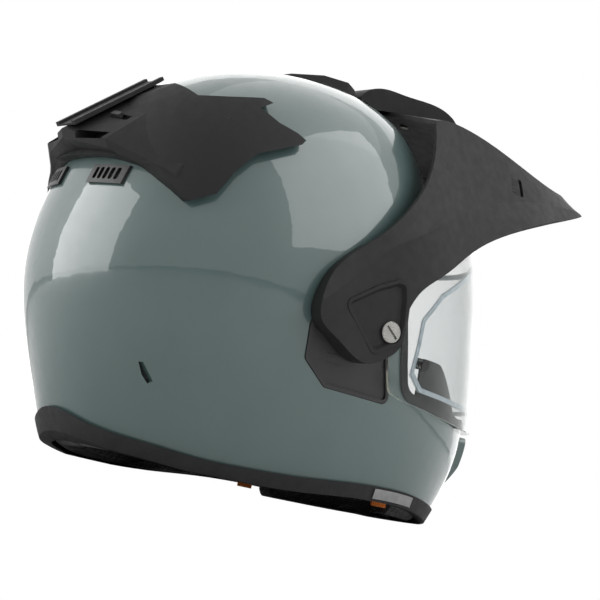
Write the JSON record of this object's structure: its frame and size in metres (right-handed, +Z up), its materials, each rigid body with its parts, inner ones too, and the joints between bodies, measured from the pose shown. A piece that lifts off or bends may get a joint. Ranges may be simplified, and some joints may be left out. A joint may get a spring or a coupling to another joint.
{
  "type": "dual sport helmet",
  "caption": "Full-face dual sport helmet with a long peak on side arms, a clear swinging visor, a rear spoiler, sliding vents, padded liner and a double-ring chin strap.",
  "frame": {"origin": "middle of the helmet's footprint box, on the surface that it stands on", "axes": "+Z up, face and peak towards -Y, the wearer's right side at -X"},
  "size_m": [0.2708, 0.4032, 0.2926],
  "materials": {
    "shell_paint": "high gloss grey-green clear coat over laminate",
    "matte_charcoal": "fine-grained moulded plastic",
    "satin_black": "satin moulded plastic",
    "trim_rubber": "matte black rubber",
    "foam": "moulded bead foam",
    "lining": "brushed dark knit over foam",
    "webbing": "woven strap",
    "tab_orange": "woven pull tab",
    "clear_visor": "clear polycarbonate",
    "lens_clear": "clear anti-fog insert",
    "seal_silicone": "translucent silicone bead",
    "screw_metal": "satin machined",
    "ring_metal": "tumbled",
    "tag_silver": "satin foil"
  },
  "bodies": {
    "helmet": {"outer_shell": "shell_paint", "base_trim": "trim_rubber", "eyeport_trim": "trim_rubber", "trim_tag": "tag_silver", "eps_liner": "foam", "chin_eps": "foam", "comfort_liner": "lining", "neck_roll": "lining", "chin_curtain": "lining", "cheek_pad_left": "lining", "cheek_pad_right": "lining", "emergency_tabs": "tab_orange", "chin_strap_right": "webbing", "chin_strap_left": "webbing", "strap_anchors": "ring_metal", "strap_snap": "satin_black", "side_plate_left": "satin_black", "side_plate_right": "satin_black", "pivot_base_left": "satin_black", "pivot_base_right": "satin_black", "top_vent_cover": "matte_charcoal", "rear_spoiler": "matte_charcoal", "rear_duct": "matte_charcoal", "exhaust_grilles": "satin_black", "chin_vent_housing": "shell_paint", "chin_vent_grille": "satin_black", "brow_vent": "satin_black", "breath_guard": "trim_rubber", "peak": "matte_charcoal", "peak_bridge": "matte_charcoal", "peak_front_screw": "screw_metal"},
    "visor": {"visor": "clear_visor", "inner_lens": "lens_clear", "lens_seal": "seal_silicone", "lens_pins": "satin_black", "visor_pivot_hubs": "satin_black", "visor_tab": "clear_visor"},
    "side_screw_left": {"side_screw_left": "screw_metal"},
    "side_screw_right": {"side_screw_right": "screw_metal"},
    "top_vent_slider": {"top_vent_slider": "satin_black"},
    "exhaust_slider_left": {"exhaust_slider_left": "satin_black"},
    "exhaust_slider_right": {"exhaust_slider_right": "satin_black"},
    "chin_vent_shutter": {"chin_vent_shutter": "satin_black"},
    "brow_shutter_left": {"brow_shutter_left": "satin_black"},
    "brow_shutter_right": {"brow_shutter_right": "satin_black"},
    "d_ring_a": {"d_ring_a": "ring_metal"},
    "d_ring_b": {"d_ring_b": "ring_metal"}
  },
  "joints": [
    {"name": "visor_hinge", "type": "hinge", "parent": "helmet", "child": "visor", "pos_m": [0, 0.0308, 0.13006], "axis": [-1, 0, 0], "range_deg": [0, 35]},
    {"name": "side_screw_left_turn", "type": "hinge", "parent": "helmet", "child": "side_screw_left", "pos_m": [0.13, 0.00476, 0.11382], "axis": [1, 0, 0], "range_deg": [0, 90]},
    {"name": "side_screw_right_turn", "type": "hinge", "parent": "helmet", "child": "side_screw_right", "pos_m": [-0.13, 0.00476, 0.11382], "axis": [-1, 0, 0], "range_deg": [0, 90]},
    {"name": "top_vent_slide", "type": "slide", "parent": "helmet", "child": "top_vent_slider", "axis": [0, 1, 0], "range_m": [0, 0.008]},
    {"name": "exhaust_left_slide", "type": "slide", "parent": "helmet", "child": "exhaust_slider_left", "axis": [0.9696, -0.2043, -0.1348], "range_m": [0, 0.008]},
    {"name": "exhaust_right_slide", "type": "slide", "parent": "helmet", "child": "exhaust_slider_right", "axis": [-0.9696, -0.2043, -0.1348], "range_m": [0, 0.008]},
    {"name": "chin_vent_slide", "type": "slide", "parent": "helmet", "child": "chin_vent_shutter", "axis": [0, -0.1044, 0.9945], "range_m": [0, 0.004]},
    {"name": "brow_left_slide", "type": "slide", "parent": "helmet", "child": "brow_shutter_left", "axis": [0, 0.3211, 0.947], "range_m": [0, 0.005]},
    {"name": "brow_right_slide", "type": "slide", "parent": "helmet", "child": "brow_shutter_right", "axis": [0, 0.3211, 0.947], "range_m": [0, 0.005]},
    {"name": "d_ring_a_swing", "type": "hinge", "parent": "helmet", "child": "d_ring_a", "pos_m": [-0.0391, 0.0336, 0.02268], "axis": [0, -1, 0], "range_deg": [0, 80]},
    {"name": "d_ring_b_swing", "type": "hinge", "parent": "helmet", "child": "d_ring_b", "pos_m": [-0.0429, 0.0336, 0.02268], "axis": [0, 1, 0], "range_deg": [0, 50]}
  ]
}
